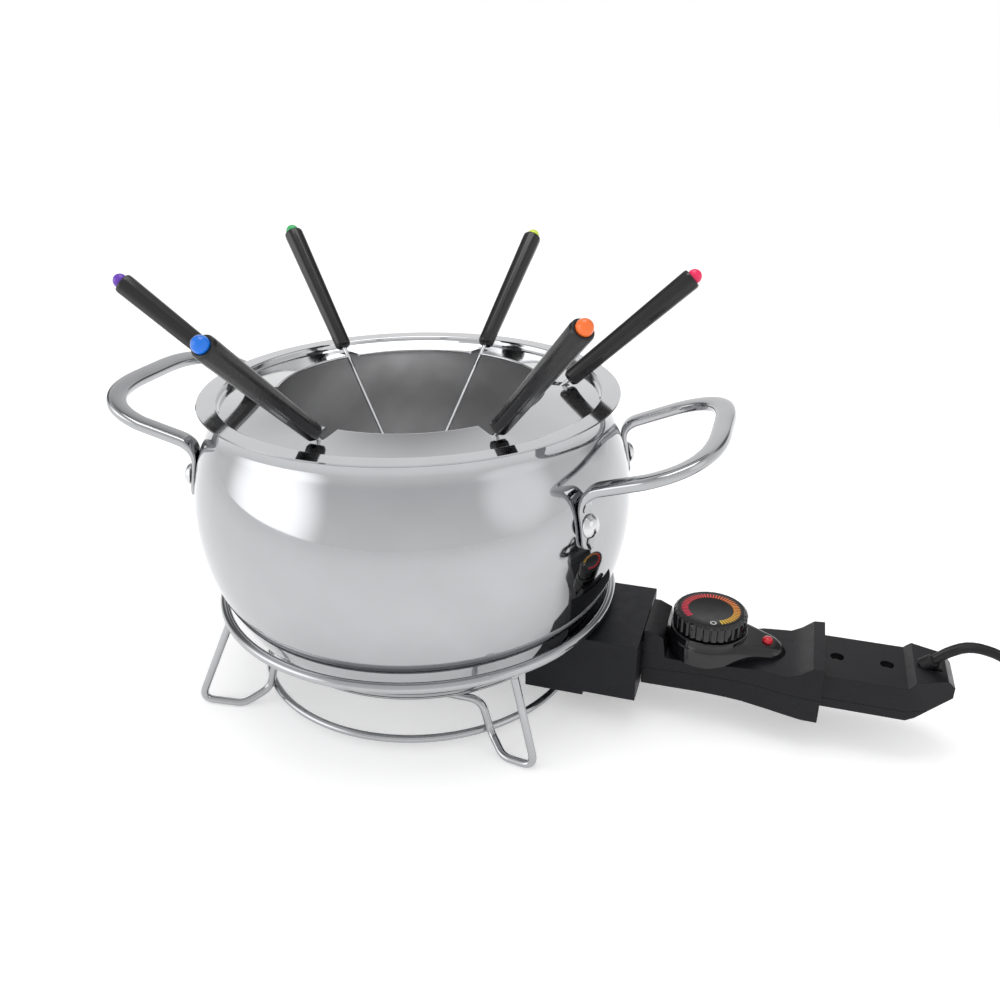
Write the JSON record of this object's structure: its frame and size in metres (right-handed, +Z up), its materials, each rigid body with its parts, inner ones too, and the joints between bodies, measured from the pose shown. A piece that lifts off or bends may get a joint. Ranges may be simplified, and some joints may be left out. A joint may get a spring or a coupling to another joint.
{
  "type": "electric fondue pot",
  "caption": "Bulbous steel fondue pot in a wire stand, with a fork ring, colour-tipped forks and a plug-in temperature control",
  "frame": {"origin": "on the table under the axis of the bowl", "axes": "+Z up, +X out along the temperature control, +Y to the left of the control seen from the bowl"},
  "size_m": [0.5439, 0.2656, 0.212],
  "materials": {
    "chrome_wire": "bright nickel-chrome plate on round wire",
    "chrome_bar": "bright polished bar",
    "polished_steel": "polished stainless sheet",
    "bowl_steel": "mirror-polished stainless outside, dark grey non-stick inside",
    "zinc_steel": "zinc-plated steel",
    "cast_aluminium": "cast, unpolished",
    "element_sheath": "heat-darkened steel sheath",
    "brass": "plain brass",
    "probe_steel": "bright stainless",
    "shroud_black": "matte black moulded phenolic",
    "control_black": "satin black moulding",
    "gloss_black": "gloss black moulding",
    "dial_print": "black with printed ticks in red, orange and yellow",
    "red_lens": "translucent red lens",
    "lamp_glass": "small neon lamp",
    "phenolic": "brown phenolic block",
    "grip_black": "satin black moulding",
    "cord_rubber": "black flexible sheath",
    "ball_pink": "gloss pink",
    "ball_lime": "gloss lime",
    "ball_green": "gloss green",
    "ball_purple": "gloss purple",
    "ball_blue": "gloss blue",
    "ball_orange": "gloss orange"
  },
  "bodies": {
    "pot_and_stand": {"stand_hoop": "chrome_wire", "stand_lower_hoop": "chrome_wire", "leg_wire_front": "chrome_wire", "leg_wire_rear": "chrome_wire", "rail_clips": "zinc_steel", "rail_clip_screws": "zinc_steel", "bowl": "bowl_steel", "base_cup": "bowl_steel", "heat_spreader": "cast_aluminium", "heating_element": "element_sheath", "terminal_pins": "brass", "probe_guide": "probe_steel", "connector_shroud": "shroud_black", "shroud_screws": "zinc_steel", "side_handle_right": "chrome_bar", "side_handle_left": "chrome_bar", "handle_rivets_right": "chrome_bar", "handle_rivets_left": "chrome_bar"},
    "fork_ring": {"fork_ring": "polished_steel"},
    "control": {"control_top_shell": "control_black", "control_bottom_shell": "control_black", "control_nose": "control_black", "control_bezel": "gloss_black", "indicator_lens": "red_lens", "indicator_lamp": "lamp_glass", "probe_rod": "probe_steel", "contact_sleeves": "brass", "thermostat": "phenolic", "shell_screws": "zinc_steel", "strain_relief": "cord_rubber", "cord": "cord_rubber", "cord_coil": "cord_rubber", "cord_tie": "cord_rubber", "plug_body": "cord_rubber", "plug_pins": "brass"},
    "dial": {"dial_knob": "gloss_black", "dial_face": "dial_print", "dial_shaft": "zinc_steel"},
    "fork_1": {"fork_shaft_1": "probe_steel", "fork_grip_1": "grip_black", "fork_ball_1": "ball_pink"},
    "fork_2": {"fork_shaft_2": "probe_steel", "fork_grip_2": "grip_black", "fork_ball_2": "ball_lime"},
    "fork_3": {"fork_shaft_3": "probe_steel", "fork_grip_3": "grip_black", "fork_ball_3": "ball_green"},
    "fork_4": {"fork_shaft_4": "probe_steel", "fork_grip_4": "grip_black", "fork_ball_4": "ball_purple"},
    "fork_5": {"fork_shaft_5": "probe_steel", "fork_grip_5": "grip_black", "fork_ball_5": "ball_blue"},
    "fork_6": {"fork_shaft_6": "probe_steel", "fork_grip_6": "grip_black", "fork_ball_6": "ball_orange"}
  },
  "joints": [
    {"name": "ring_lift", "type": "slide", "parent": "pot_and_stand", "child": "fork_ring", "axis": [0, 0, 1], "range_m": [0, 0.11]},
    {"name": "control_unplug", "type": "slide", "parent": "pot_and_stand", "child": "control", "axis": [1, 0, 0], "range_m": [0, 0.085]},
    {"name": "dial_turn", "type": "hinge", "parent": "control", "child": "dial", "pos_m": [0.1503, 0, 0.05], "axis": [0, 0, 1], "range_deg": [-300, 0]},
    {"name": "fork_1_pull", "type": "slide", "parent": "fork_ring", "child": "fork_1", "axis": [0.7222, 0.2071, 0.66], "range_m": [0, 0.14]},
    {"name": "fork_2_pull", "type": "slide", "parent": "fork_ring", "child": "fork_2", "axis": [0.1535, 0.7283, 0.6678], "range_m": [0, 0.14]},
    {"name": "fork_3_pull", "type": "slide", "parent": "fork_ring", "child": "fork_3", "axis": [-0.5552, 0.396, 0.7314], "range_m": [0, 0.14]},
    {"name": "fork_4_pull", "type": "slide", "parent": "fork_ring", "child": "fork_4", "axis": [-0.7468, -0.1371, 0.6508], "range_m": [0, 0.14]},
    {"name": "fork_5_pull", "type": "slide", "parent": "fork_ring", "child": "fork_5", "axis": [-0.1398, -0.7191, 0.6807], "range_m": [0, 0.14]},
    {"name": "fork_6_pull", "type": "slide", "parent": "fork_ring", "child": "fork_6", "axis": [0.562, -0.4189, 0.7133], "range_m": [0, 0.14]}
  ]
}
